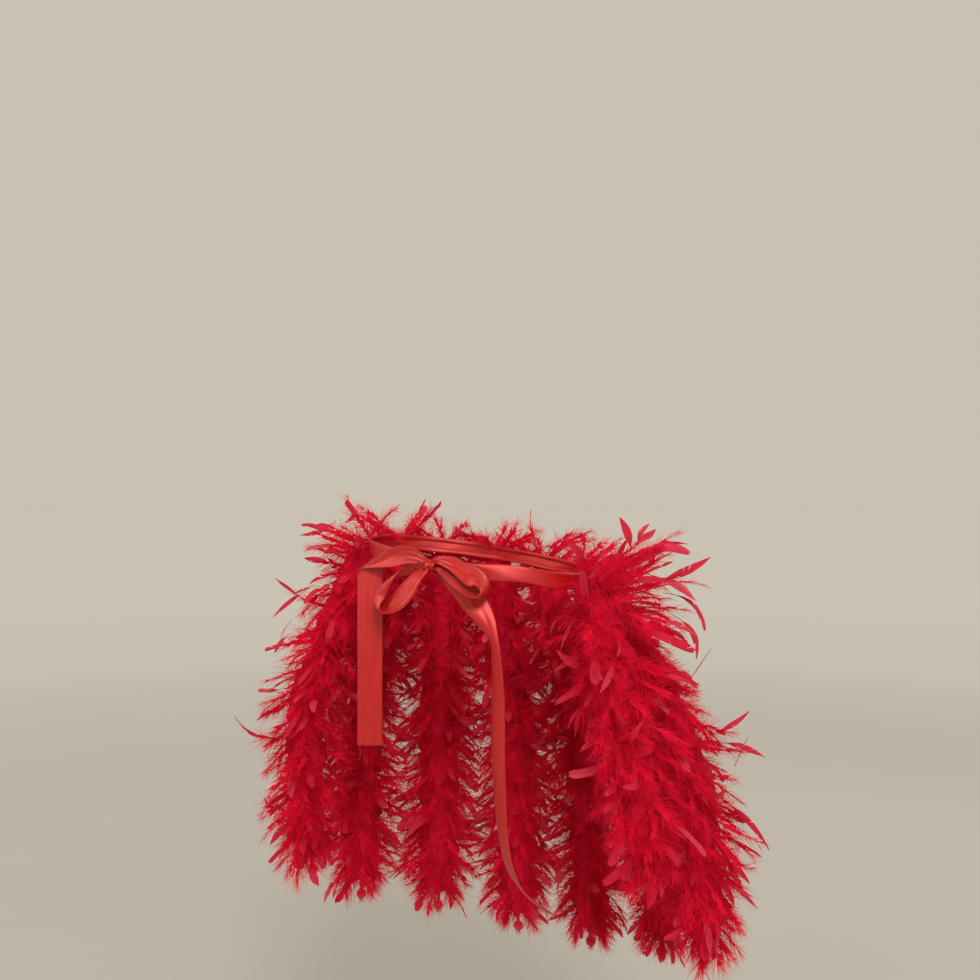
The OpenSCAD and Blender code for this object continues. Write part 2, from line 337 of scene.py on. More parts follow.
def make_cord(strand):
    corners = 14
    angle = np.arange(corners) * 2 * math.pi / corners
    twist = strand.at[:, None] * 2 * math.pi / 0.018
    radii = CORD_DIAMETER / 2 * (0.84 + 0.16 * np.abs(np.cos(angle[None, :] - twist)))
    # the top closes in a rounded end over the stitch
    rounded = np.sqrt(np.clip(1 - (1 - np.clip(strand.at / 0.0025, 0, 1)) ** 2, 0.05, 1))
    radii = radii * rounded[:, None]
    points = tube_rings(strand.line, strand.normal, strand.side, radii)
    cord = new_object(f"{strand.name}_cord", points, tube_faces(len(strand.line), corners), CORD)
    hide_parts(f"{strand.name}_upper_cord", f"{strand.name}_lower_cord")
    strand.blend(cord)
    return cord


def make_end_knot(strand):
    """A round knot of the cord's own winding, with a short frayed end below it."""
    rings, corners, radius = 22, 28, 0.0058
    down = unit(strand.end - strand.bend)
    u = unit(np.cross(down, strand.out))
    v = np.cross(u, down)
    points = []
    for i in range(rings + 1):
        polar = math.pi * i / rings
        for j in range(corners):
            turn = 2 * math.pi * j / corners
            groove = 1 + 0.09 * math.cos(4 * turn + 7 * polar) * math.sin(polar)
            r = radius * groove
            ring = math.sin(polar) * (math.cos(turn) * u + math.sin(turn) * v)
            points.append(strand.end + r * (ring - math.cos(polar) * down))
    faces = tube_faces(rings + 1, corners)
    strands = 14
    for j in range(strands):
        turn = 2 * math.pi * j / strands
        spread = math.cos(turn) * u + math.sin(turn) * v
        base = strand.end + down * 0.0045 + spread * 0.0012
        tip = base + down * (0.007 + 0.002 * math.cos(5 * turn)) + spread * 0.0028
        across = np.cross(down, spread) * 0.0005
        k = len(points)
        points += [base - across, base + across, base + spread * 0.0006, tip]
        faces += [(k, k + 1, k + 3), (k + 1, k + 2, k + 3), (k + 2, k, k + 3), (k, k + 2, k + 1)]
    knot = new_object(f"{strand.name}_knot", np.array(points), faces, CORD)
    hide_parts(f"{strand.name}_end_knot")
    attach(knot, strand.lower)
    return knot


strands = [Strand(k + 1) for k in range(STRAND_COUNT)]
for strand in strands:
    cord = make_cord(strand)
    knot = make_end_knot(strand)


# ---------------------------------------------------------------- strands: feathers
FEATHER_PITCH = 0.0015
BARBS = 46
BANDS = 8
BARB_STOPS = np.array([0.0, 0.5, 1.0])
BARB_WIDTHS = np.array([0.00024, 0.00020, 0.0])
VANED_SHARE = 0.32
# how much longer the outer feathers are near the top; the wearer's left hip is the fullest
CROWN_FULLNESS = {1: 0.40, 2: 0.60}
OTHER_FULLNESS = 0.20
# each feather leaves the cord this many radians further round than the one before it
FEATHER_TURN = 2.39996
VIEWER = np.array([math.sin(CAMERA_AZIMUTH), -math.cos(CAMERA_AZIMUTH), 0.0])

# Feathers that stand out from the rest: strand, root and tip in millimetres, bow of the quill, half width
# of the vane, and how pointed it is.
STRAYS = [
    (1, (168, 0, 8), (158, -5, 46), -3, 5.5, 0.9),
    (1, (172, 6, 18), (186, 2, 40), 3, 3.0, 0.9),
    (1, (166, 10, -4), (222, 10, 12), 12, 6.0, 0.1),
    (2, (180, 20, -18), (239, 25, 8), -4, 4.8, 0.6),
    (2, (178, 20, -10), (224, 25, -34), 4, 5.2, 0.8),
    (2, (192, 25, -28), (232, 30, -63), 11, 3.2, 0.1),
    (2, (196, 40, -50), (221, 40, -93), 9, 4.0, 0.7),
    (2, (204, 60, -124), (230, 60, -85), 0, 0.6, 0.9),
    (1, (131, -28, -36), (107, -35, -87), -3, 1.7, 0.9),
    (1, (145, -28, -80), (106, -45, -101), -2, 4.2, 0.9),
    (2, (222, 82, -176), (260, 95, -150), -3, 3.4, 0.4),
    (2, (228, 84, -182), (274, 100, -196), 3, 4.2, 0.9),
    (2, (246, 88, -206), (258, 95, -177), 0, 0.7, 0.9),
    (2, (232, 90, -240), (277, 105, -290), 4, 4.2, 0.6),
    (1, (153, -14, -188), (120, -40, -198), 3, 5.5, 0.2),
    (1, (130, -25, -126), (122, -30, -165), -2, 2.5, 0.9),
    (1, (137, -25, -130), (132, -30, -170), 1, 2.2, 0.9),
    (8, (-176, -8, 40), (-213, -25, 24), 4, 3.6, 0.6),
    (8, (-198, -18, -32), (-216, -30, -41), 0, 1.6, 0.2),
    (8, (-204, -20, -36), (-239, -40, -68), -2, 3.0, 0.9),
    (8, (-220, -30, -72), (-233, -35, -98), -3, 0.7, 0.9),
    (8, (-222, -30, -86), (-237, -40, -108), -2, 3.0, 0.9),
    (8, (-232, -30, -149), (-260, -40, -152), 1, 3.0, 0.2),
    (8, (-152, 0, 58), (-166, -5, 38), 4, 3.2, 0.5),
]


class Feathers:
    """All feathers of one strand, as arrays with one row for each feather."""

    def __init__(self, strand, number):
        self.strand = strand
        count = int(strand.length / FEATHER_PITCH)
        s = np.linspace(0.0, strand.length - 0.026, count) + rng.normal(0, 0.002, count)
        s = np.clip(s, 0.001, strand.length - 0.022)
        place, _, normal, side = strand.sample(s)
        crown = np.clip(1 - s / 0.050, 0, 1)[:, None]
        foot = np.clip((s - strand.length + 0.09) / 0.07, 0, 1)[:, None]
        turn = np.arange(count) * FEATHER_TURN + rng.normal(0, 0.45, count)
        spoke = np.cos(turn)[:, None] * normal + np.sin(turn)[:, None] * side
        inner = np.clip(-np.cos(turn), 0, 1)[:, None]
        spoke = unit(spoke + normal * inner * 0.62)
        wild = (rng.random(count) < 0.06)[:, None]
        jitter = rng.normal(0, 1, (count, 3))
        droop = 0.22 + 0.45 * rng.random((count, 1))
        first = unit(spoke - UP * droop)
        first_crown = unit(spoke * 0.60 + UP * 0.72 + strand.out * 0.50)
        last = unit(spoke * (0.65 + 0.40 * rng.random((count, 1))) - UP * 0.80 + jitter * 0.26)
        last_wild = unit(spoke * 0.95 - UP * rng.uniform(-0.45, 0.5, (count, 1)) + jitter * 0.2)
        last_crown = unit(spoke * 0.90 + UP * rng.uniform(0.1, 1.05, (count, 1))
                          + strand.out * 0.45 + jitter * 0.25)
        last = np.where(wild, last_wild, last)
        # at the foot they hang down over the end knot
        foot_first = unit(spoke * 0.75 - UP * 0.7)
        foot_last = unit(spoke * 0.25 - UP + jitter * 0.18)
        first = first * (1 - foot) + foot_first * foot
        last = last * (1 - foot) + foot_last * foot
        self.first = unit(first * (1 - crown) + first_crown * crown)
        self.last = unit(last * (1 - crown) + last_crown * crown)
        # the tufts come and go along the strand
        tuft = 1 + 0.10 * np.sin(s * 2 * math.pi / 0.058 + strand.stitch[0] * 40)[:, None]
        length = rng.uniform(0.054, 0.072, (count, 1)) * tuft
        top = np.clip(1 - s / 0.11, 0, 1)[:, None] * np.clip(np.cos(turn), 0, 1)[:, None]
        fullness = CROWN_FULLNESS.get(number, OTHER_FULLNESS)
        length = length * (1 - 0.04 * crown) * (1 - 0.38 * foot) * (1 + fullness * top)
        length = length * (1 - 0.25 * inner)
        self.length = np.where(wild, length * 1.12, length)
        self.base = place + spoke * 0.0022
        curl = np.cross(self.last, rng.normal(0, 1, (count, 3)))
        self.curl = unit(curl) * np.where(wild, 0.30, 0.14)
        self.spoke = spoke
        self.roll = rng.normal(0, 0.55, count)
        self.shade = np.clip(rng.normal(0.5, 0.20, count), 0.15, 1)
        # some feathers end in a flat vane, and the others are down to their tip
        vaned = (rng.random(count) < VANED_SHARE * (1 - 0.6 * crown[:, 0])) | wild[:, 0]
        self.vane_half = rng.uniform(0.0038, 0.0058, count)
        self.vane_from = np.where(vaned, rng.uniform(0.50, 0.66, count), 1.0)
        self.length[vaned] *= 1.10
        self.pointed = rng.random(count)
        self.grown = count
        self.add_strays([stray[1:] for stray in STRAYS if stray[0] == number])
        self.count = len(self.length)
        self.vaned = np.nonzero(self.vane_from < 1.0)[0]

    def add_strays(self, strays):
        """Feathers given one by one, whose flat side faces the front and left of the wearer."""
        for root, tip, bow, half, pointed in strays:
            root, tip = np.array(root) / 1000, np.array(tip) / 1000
            chord = tip - root
            long = np.linalg.norm(chord)
            bow_way = unit(np.cross(VIEWER, chord)) * 4 * bow / 1000 / long
            row = {"first": chord / long + bow_way, "last": chord / long - bow_way, "base": root,
                   "curl": np.zeros(3), "spoke": VIEWER, "length": [long], "roll": 0.25, "vane_from": 0.22,
                   "shade": rng.uniform(0.45, 0.95), "vane_half": half / 1000, "pointed": pointed}
            for key, value in row.items():
                setattr(self, key, np.concatenate([getattr(self, key), np.array([value], float)]))

    def at(self, rows, t):
        """Place and directions (along, across, face) on feathers rows at shares t of their length."""
        t = t[:, None]
        first, last = self.first[rows], self.last[rows]
        length, curl = self.length[rows], self.curl[rows]
        place = self.base[rows] + length * (first * (t - t * t / 2) + last * t * t / 2 + curl * t ** 3)
        along = unit(first * (1 - t) + last * t + 3 * curl * t * t)
        across = unit(np.cross(along, self.spoke[rows] + 0.3 * UP))
        face = np.cross(across, along)
        c, s = np.cos(self.roll[rows])[:, None], np.sin(self.roll[rows])[:, None]
        return place, along, across * c + face * s, face * c - across * s


class Parts:
    """Gathers vertices, faces and the three point values of a feathers mesh."""

    def __init__(self):
        self.points, self.faces, self.values, self.total = [], [], [], 0

    def add(self, points, faces, shade, tip, vane):
        """points (n, k, 3): n copies with k vertices each; faces index one copy."""
        n, k = points.shape[:2]
        start = self.total + np.arange(n)[:, None] * k
        for face in faces:
            self.faces.append(start + np.array(face)[None, :])
        self.points.append(points.reshape(-1, 3))
        spread = np.empty((n, k, 3), np.float32)
        spread[..., 0] = shade
        spread[..., 1] = tip
        spread[..., 2] = vane
        self.values.append(spread.reshape(-1, 3))
        self.total += n * k

    def make(self, name, material):
        faces = [row for block in self.faces for row in block.tolist()]
        made = new_object(name, np.vstack(self.points), faces, material, smooth=False)
        values = np.vstack(self.values)
        for i, attribute in enumerate(("shade", "tip", "vane")):
            point_attribute(made, attribute, values[:, i])
        return made


def add_down(parts, f):
    """The fluffy part of each feather: long soft barbs on both sides of the quill."""
    rows = np.repeat(np.arange(f.grown), 2 * BARBS)
    number = np.tile(np.arange(2 * BARBS), f.grown)
    sign = np.where(number % 2, 1.0, -1.0)[:, None]
    n = len(rows)
    share = (number // 2 + rng.random(n)) / BARBS
    downy = f.vane_from[rows] >= 1.0
    t = 0.10 + (np.minimum(f.vane_from[rows] + 0.06, 0.97) - 0.10) * share
    place, along, across, face = f.at(rows, t)
    # a plume without a vane closes softly at its tip
    close = np.where(downy, np.clip((share - 0.45) / 0.55, 0, 1), 0.4 * np.clip((share - 0.6) / 0.4, 0, 1))
    slant = (rng.normal(0.66, 0.20, n) + 0.55 * close)[:, None]
    lift = rng.normal(0, 0.50, n)[:, None] * (1 - 0.5 * close[:, None])
    heading = unit(sign * across * np.cos(slant) + along * np.sin(slant) + face * lift)
    reach = rng.uniform(0.014, 0.027, n) * (0.78 + 0.22 * np.sin(math.pi * share)) * (1 - 0.55 * close)
    reach = reach[:, None]
    sway = rng.normal(0, 0.30, (n, 3)) - UP * 0.22 + along * (0.2 + 0.5 * close[:, None])
    q = BARB_STOPS[None, :, None]
    lines = place[:, None, :] + reach[:, :, None] * (heading[:, None, :] * q + sway[:, None, :] * q * q * 0.6)
    width = unit(np.cross(heading, rng.normal(0, 1, (n, 3))))
    half = BARB_WIDTHS[None, :, None] * width[:, None, :] * rng.uniform(0.7, 1.4, n)[:, None, None]
    points = np.stack([lines[:, 0] - half[:, 0], lines[:, 0] + half[:, 0],
                       lines[:, 1] - half[:, 1], lines[:, 1] + half[:, 1], lines[:, 2]], axis=1)
    shade = np.clip(f.shade[rows] + rng.normal(0, 0.06, n), 0, 1)[:, None]
    # the tip value sets the painted shade: darker near the quill's base, lighter out at each barb's end
    tip = t[:, None] * 0.6 + np.array([0, 0, 0.2, 0.2, 0.4])[None, :]
    parts.add(points, [(0, 1, 3, 2), (2, 3, 4)], shade, tip, 0.0)


def add_webs(parts, f):
    """Next to the quill the down clings together in narrow ragged webs."""
    rows = np.arange(f.grown)
    bands = 6
    stop_at = np.minimum(f.vane_from[rows] + 0.05, 0.82)
    for sign in (-1.0, 1.0):
        for i in range(bands):
            wide = rng.uniform(0.0012, 0.0038, f.grown)[:, None]
            lift = rng.normal(0, 0.45, f.grown)[:, None]
            corners = []
            for share in (i / bands, (i + 1) / bands):
                p, a, c, n = f.at(rows, 0.10 + (stop_at - 0.10) * share)
                corners += [p, p + (sign * c + n * lift + a * 1.2) * wide]
            # the tip value sets the painted shade, darker nearer the quill's base
            tip = 0.3 + 0.5 * i / bands
            parts.add(np.stack(corners, axis=1), [(0, 1, 3, 2)], f.shade[rows][:, None], tip, 0.0)


def add_vanes(parts, f):
    """The flat end of the vaned feathers: slanting bands of joined barbs that split here and there."""
    rows = f.vaned
    count = len(rows)
    vane_half, vane_from, pointed = f.vane_half[rows], f.vane_from[rows], f.pointed[rows]
    span = 1 - vane_from
    cup = 0.25 * (1 + np.abs(f.roll[rows]))[:, None]
    fall_from = np.where(pointed > 0.35, 0.40, 0.74)
    least = np.where(pointed > 0.35, 0.05, 0.40)

    def half_width(x):
        rise = min(x / 0.25, 1.0) ** 0.6
        fall = np.clip((x - fall_from) / (1 - fall_from), 0, 1)
        return np.maximum(vane_half * rise * (1 - (1 - least) * fall ** 1.6), 0.0004)

    for sign, size in ((-1.0, rng.uniform(0.55, 1.0, count)), (1.0, rng.uniform(0.75, 1.0, count))):
        ruffle_next = rng.normal(0, 0.0003, count)
        for i in range(BANDS):
            split = (rng.random(count) < 0.12) * rng.uniform(0.0005, 0.0016, count)
            ruffle = np.where(split > 0, rng.normal(0, 0.0008, count), ruffle_next)
            ruffle_next = rng.normal(0, 0.0003, count)

            def edge(x, share, lift, shift):
                p, a, c, n = f.at(rows, vane_from + span * x)
                w = (half_width(x) * size)[:, None]
                return (p + sign * c * w * share + a * (w * share * 0.85 + shift[:, None] * share)
                        + n * (cup * w * share * share + lift[:, None] * share))

            start, stop = i / BANDS, (i + 1) / BANDS
            none = np.zeros(count)
            points = [edge(start, 0.0, none, none), edge(start, 0.55, ruffle, split),
                      edge(start, 1.0, ruffle, split), edge(stop, 0.0, none, none),
                      edge(stop, 0.55, ruffle_next, none), edge(stop, 1.0, ruffle_next, none)]
            shade = np.clip(f.shade[rows] + rng.normal(0, 0.04, count), 0.15, 1)[:, None]
            # the tip value also sets the painted shade, darker towards the vane's base
            t0, t1 = vane_from + span * start, vane_from + span * stop
            tip = np.stack([t0, t0, t0, t1, t1, t1], axis=1)
            parts.add(np.stack(points, axis=1), [(0, 1, 4, 3), (1, 2, 5, 4)], shade, tip, 1.0)


# a quill has three sides
QUILL_CORNERS = (0.0, 2.094, 4.189)


def add_quills(parts, f):
    """The thin stems of all feathers."""
    stops = 7
    radii = np.linspace(0.00042, 0.00012, stops)
    corners = []
    for i in range(stops):
        t = np.full(f.count, i / (stops - 1))
        place, _, across, face = f.at(np.arange(f.count), t)
        for angle in QUILL_CORNERS:
            corners.append(place + radii[i] * (math.cos(angle) * across + math.sin(angle) * face))
    points = np.stack(corners, axis=1)
    faces = [(3 * i + j, 3 * i + (j + 1) % 3, 3 * i + 3 + (j + 1) % 3, 3 * i + 3 + j)
             for i in range(stops - 1) for j in range(3)]
    # painted shade: the tip value darkens each quill towards its base
    tip = np.repeat(np.linspace(0.2, 1, stops), 3)[None, :]
    parts.add(points, faces, 0.0, tip, 1.0)


def add_fluff(parts, strand):
    """The matted down close round the cord, which nothing shows through."""
    every = 3
    line, tangent = strand.line[4:-7:every], strand.tangent[4:-7:every]
    normal, side = strand.normal[4:-7:every], strand.side[4:-7:every]
    corners = 16
    rings = len(line)
    angle = np.arange(corners) * 2 * math.pi / corners
    radius = rng.uniform(0.018, 0.028, (rings, corners))
    radius *= np.where(np.cos(angle) < -0.3, 0.6, 1.0)[None, :]
    ends = np.minimum(np.arange(rings), np.arange(rings)[::-1])
    radius *= np.clip(0.35 + ends / 6, 0, 1)[:, None]
    points = tube_rings(line, normal, side, radius)
    points += (rng.normal(0, 0.0028, (rings, corners, 1)) * tangent[:, None, :]).reshape(-1, 3)
    # its tip value of 0.40 takes a little of the painted shade
    parts.add(points[None], tube_faces(rings, corners, caps=False), 0.40, 0.40, 0.0)


# feathers may stand past the limits of the CAD box by this share of its side and this much more
SPARE_SHARE = 0.03
SPARE_REST = 0.009
# and are drawn in over this distance before they get there
SOFT_EDGE = 0.012
allowed = []
for axis in range(3):
    low, high = cad_box[0][axis], cad_box[1][axis]
    spare = SPARE_SHARE * (high - low) + SPARE_REST
    allowed.append((low - spare, high + spare))


def keep_inside(points):
    """Feather tips near the object's limits are drawn in, and the rest stay as they are."""
    for axis, (low, high) in enumerate(allowed):
        over = points[:, axis] - (high - SOFT_EDGE)
        drawn_in = high - SOFT_EDGE + SOFT_EDGE * np.tanh(over / SOFT_EDGE)
        points[:, axis] = np.where(over > 0, drawn_in, points[:, axis])
        under = low + SOFT_EDGE - points[:, axis]
        drawn_in = low + SOFT_EDGE - SOFT_EDGE * np.tanh(under / SOFT_EDGE)
        points[:, axis] = np.where(under > 0, drawn_in, points[:, axis])
    return points


for number, strand in enumerate(strands, start=1):
    parts = Parts()
    feathers = Feathers(strand, number)
    add_fluff(parts, strand)
    add_down(parts, feathers)
    add_webs(parts, feathers)
    add_vanes(parts, feathers)
    add_quills(parts, feathers)
    parts.points = [keep_inside(np.vstack(parts.points))]
    boa = parts.make(f"{strand.name}_boa", FEATHERS)
    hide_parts(f"{strand.name}_upper_feathers", f"{strand.name}_lower_feathers")
    strand.blend(boa)


# ---------------------------------------------------------------- ribbon
RIBBON_WIDTH = 0.025
RIBBON_THICKNESS = 0.00035


def smooth_rows(rows, count):
    """count rows, evenly spaced, on a smooth curve through the given rows, whose first three columns are
    the place."""
    rows = np.array(rows, float)
    t = np.concatenate([[0], np.cumsum(np.linalg.norm(np.diff(rows[:, :3], axis=0), axis=1))])
    slope = np.empty_like(rows)
    step = np.diff(t)[:, None]
    chord = np.diff(rows, axis=0) / step
    slope[1:-1] = (chord[:-1] * step[1:] + chord[1:] * step[:-1]) / (step[1:] + step[:-1])
    slope[0], slope[-1] = chord[0], chord[-1]
    fine = np.linspace(0, t[-1], 600)
    k = np.clip(np.searchsorted(t, fine, side="right") - 1, 0, len(t) - 2)
    h = (t[k + 1] - t[k])[:, None]
    u = ((fine - t[k]) / (t[k + 1] - t[k]))[:, None]
    curve = ((1 + 2 * u) * (1 - u) ** 2 * rows[k] + u * (1 - u) ** 2 * h * slope[k]
             + u * u * (3 - 2 * u) * rows[k + 1] + u * u * (u - 1) * h * slope[k + 1])
    lengths = np.concatenate([[0], np.cumsum(np.linalg.norm(np.diff(curve[:, :3], axis=0), axis=1))])
    even = np.linspace(0, lengths[-1], count)
    return np.stack([np.interp(even, lengths, curve[:, i]) for i in range(rows.shape[1])], axis=1)


def ribbon_piece(name, grid, closed=False, width=RIBBON_WIDTH):
    """A thin closed shell round a grid of points (rows along, columns across), with the weave's UV map."""
    rows, columns = grid.shape[:2]
    if closed:
        around = (np.roll(grid, -1, axis=0) - np.roll(grid, 1, axis=0))
    else:
        around = np.gradient(grid, axis=0)
    normal = unit(np.cross(around, np.gradient(grid, axis=1)))
    skin = np.concatenate([(grid + normal * RIBBON_THICKNESS / 2).reshape(-1, 3),
                           (grid - normal * RIBBON_THICKNESS / 2).reshape(-1, 3)])
    lower = rows * columns
    centre = grid[:, columns // 2]
    gaps = np.linalg.norm(np.diff(centre, axis=0), axis=1)
    along = np.concatenate([[0], np.cumsum(gaps)])
    last_gap = float(np.linalg.norm(centre[0] - centre[-1]))
    faces, marks = [], []

    def face(corners, uvs):
        faces.append(tuple(corners))
        marks.extend(uvs)

    def uv(i, j, wrap):
        v = along[-1] + last_gap if wrap else along[i]
        return (j / (columns - 1) * width, v)

    spans = rows if closed else rows - 1
    for i in range(spans):
        k = (i + 1) % rows
        wrap = closed and k == 0
        for j in range(columns - 1):
            a, b, c, d = i * columns + j, i * columns + j + 1, k * columns + j + 1, k * columns + j
            uvs = [uv(i, j, False), uv(i, j + 1, False), uv(k, j + 1, wrap), uv(k, j, wrap)]
            face((d, c, b, a), uvs[::-1])
            face((a + lower, b + lower, c + lower, d + lower), uvs)
        for j, flip in ((0, False), (columns - 1, True)):
            a, d = i * columns + j, k * columns + j
            quad, uvs = [a, a + lower, d + lower, d], [uv(i, j, False)] * 2 + [uv(k, j, wrap)] * 2
            face(quad[::-1] if flip else quad, uvs[::-1] if flip else uvs)
    if not closed:
        for i, flip in ((0, True), (rows - 1, False)):
            for j in range(columns - 1):
                a, b = i * columns + j, i * columns + j + 1
                quad = [a, a + lower, b + lower, b]
                uvs = [uv(i, j, False)] * 2 + [uv(i, j + 1, False)] * 2
                face(quad[::-1] if flip else quad, uvs[::-1] if flip else uvs)
    made = new_object(name, skin, faces, SATIN)
    layer = made.data.uv_layers.new(name="ribbon")
    layer.data.foreach_set("uv", np.array(marks, np.float32).ravel())
    return made


def ribbon_grid(rows, columns, cup, pleats=None):
    """Points across each row [middle, half width]. cup and pleats give heights off the flat in metres, by
    share of length and place across from -1 to 1."""
    middles, halves = rows[:, :3], rows[:, 3:6]
    forward = unit(np.gradient(middles, axis=0))
    face = unit(np.cross(forward, halves))
    share = np.linspace(0, 1, len(rows))[:, None]
    across = np.linspace(-1, 1, columns)[None, :]
    height = cup(share, across)
    if pleats is not None:
        height = height + pleats(share, across)
    return (middles[:, None, :] + across[:, :, None] * halves[:, None, :]
            + height[:, :, None] * face[:, None, :])


def mm(rows):
    """[middle, half width] pairs in millimetres as rows of six numbers in metres."""
    return np.array([list(m) + list(h) for m, h in rows], float) / 1000


# The band round the waist: its two edges are folded in behind its face, and it dips to the wearer's left.
WAIST_A, WAIST_B = 0.1208, 0.0928
WAIST_SLOPE = math.tan(math.radians(8))
BAND_HALF = 0.0080
FOLD = [(-0.55, 0.42), (-0.80, 0.90), (-0.45, 1.00), (0.10, 0.93), (0.35, 0.70), (0.40, 0.35), (0.40, 0.0),
        (0.40, -0.35), (0.35, -0.70), (0.10, -0.93), (-0.45, -1.00), (-0.80, -0.90), (-0.55, -0.42)]


def make_waist_band():
    count = 320
    turn = np.arange(count) * 2 * math.pi / count - math.pi / 2
    x, y = WAIST_A * np.cos(turn), WAIST_B * np.sin(turn)
    out = unit(np.stack([np.cos(turn) / WAIST_A, np.sin(turn) / WAIST_B, np.zeros(count)], axis=1))
    # a little higher than the plane between the bow and the wearer's left hip, where it is pulled straight
    lift = 0.004 * np.exp(-((turn + math.radians(48)) / 0.30) ** 2)
    centre = np.stack([x, y, lift - WAIST_SLOPE * x], axis=1)
    half = BAND_HALF * (1 + 0.05 * np.sin(3 * turn + 1) + 0.03 * np.sin(11 * turn))
    # drawn together where it goes into the knot
    knotted = np.exp(-((turn + math.pi / 2) / 0.16) ** 2) + np.exp(-((turn - 1.5 * math.pi) / 0.16) ** 2)
    half = half * (1 - 0.42 * knotted)
    columns = []
    for back, high in FOLD:
        wave = 0.00035 * np.sin(5 * turn + high * 2.2) + 0.00025 * np.sin(17 * turn + high * 3.0)
        columns.append(centre + out * (back * 0.001 + wave)[:, None] + UP * (high * half)[:, None])
    band = ribbon_piece("waist_band", np.stack(columns, axis=1), closed=True)
    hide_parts("waist_ribbon")
    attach(band, "root")


def make_bow_wrap():
    """The ribbon's turn over the middle of the bow, gathered to about half its width."""
    count, columns = 64, 40
    turn = np.arange(count) * 2 * math.pi / count
    low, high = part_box("bow_knot")
    centre = (np.array(low) + np.array(high)) / 2 + np.array([0.0040, 0.0, 0.0006])
    depth, tall = 0.0056, 0.0052
    across = np.linspace(-1, 1, columns)
    grid = np.empty((count, columns, 3))
    for j, a in enumerate(across):
        waist = 1 - 0.20 * (1 - a * a) + 0.16 * abs(a) ** 3
        pleat = 0.00085 * math.cos(a * math.pi * 3.5 + 0.6) + 0.0005 * math.cos(a * math.pi * 6 + 2)
        skew = 0.0016 * np.sin(turn)
        grid[:, j, 0] = centre[0] + a * 0.0060 + skew + 0.0005 * np.cos(2 * turn + a)
        grid[:, j, 1] = centre[1] - (depth * waist + pleat) * np.cos(turn)
        grid[:, j, 2] = centre[2] + (tall * waist + pleat) * np.sin(turn)
    wrap = ribbon_piece("bow_wrap", grid, closed=True)
    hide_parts("bow_knot")
    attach(wrap, "root")


def gathers(depth, reach, folds, phase=0.0, both=True):
    """Folds that run out of the knot and die away along the ribbon."""
    def height(share, across):
        fade = np.exp(-share / reach)
        if both:
            fade = fade + np.exp(-(1 - share) / reach)
        return depth * fade * np.cos(across * math.pi * folds + phase)
    return height


RIGHT_LOOP = mm([
    ([5, -102, 3.5], [0, 1, 3.2]),
    ([11, -103.5, 5.8], [0, 2.5, 3.8]),
    ([20, -105.5, 5.5], [-0.5, 4.5, 4.6]),
    ([30, -107, 2.8], [-1.5, 5.5, 6.6]),
    ([40, -108, -3.2], [-2.5, 5.5, 9.3]),
    ([48, -108, -7.2], [-3, 5.5, 10.2]),
    ([55.5, -107, -8.5], [-2, 8.5, 7]),
    ([62, -107.5, -12.5], [-1.5, 10, 4.8]),
    ([65.5, -109, -18.5], [-0.5, 10.5, 2.8]),
    ([63, -111, -24.5], [0, 10.5, 1.2]),
    ([56, -112, -25], [0, 10.5, 0.7]),
    ([47, -112, -21], [0, 10.3, 1.0]),
    ([37, -111, -14.5], [0, 9.6, 1.8]),
    ([26, -109, -7.5], [0, 8, 2.4]),
    ([14, -106, -1.5], [0, 4.6, 2.6]),
    ([6, -103, 0], [0, 2, 2]),
])
LEFT_LOOP = mm([
    ([1, -103, 1], [0, -2, 3]),
    ([-7, -104, 0], [0, -4, 3.6]),
    ([-18, -106, -3.5], [1, -5, 3.8]),
    ([-28, -106, -8], [2.5, -5, 3.2]),
    ([-38, -105, -13.5], [5, -5, 2]),
    ([-48, -103, -21.5], [7.5, -5, -0.5]),
    ([-55.5, -101, -31], [9, -5, -1]),
    ([-58, -102, -39], [7.5, -7, -1.5]),
    ([-51, -105, -42], [5, -8.5, -4]),
    ([-40, -107, -39], [7, -7.5, -6.5]),
    ([-28.5, -109.5, -33.5], [8.5, -6.5, -6.8]),
    ([-17.5, -110, -23], [9.5, -5, -5]),
    ([-8, -109, -11], [7, -4, -3]),
    ([1, -104.5, -2], [4, -2, -1.5]),
])


LOOP_CUP = 0.0030


def make_loop(name, node, rows):
    """One loop of the bow, cupped across its width and gathered at both ends."""
    rows = smooth_rows(rows, 120)

    def cup(share, across):
        return LOOP_CUP * (1 - across ** 2) * np.sin(math.pi * share)

    grid = ribbon_grid(rows, 21, cup, gathers(0.0011, 0.16, 3.0, 0.5))
    loop = ribbon_piece(name, grid)
    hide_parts(node)
    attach(loop, "root")


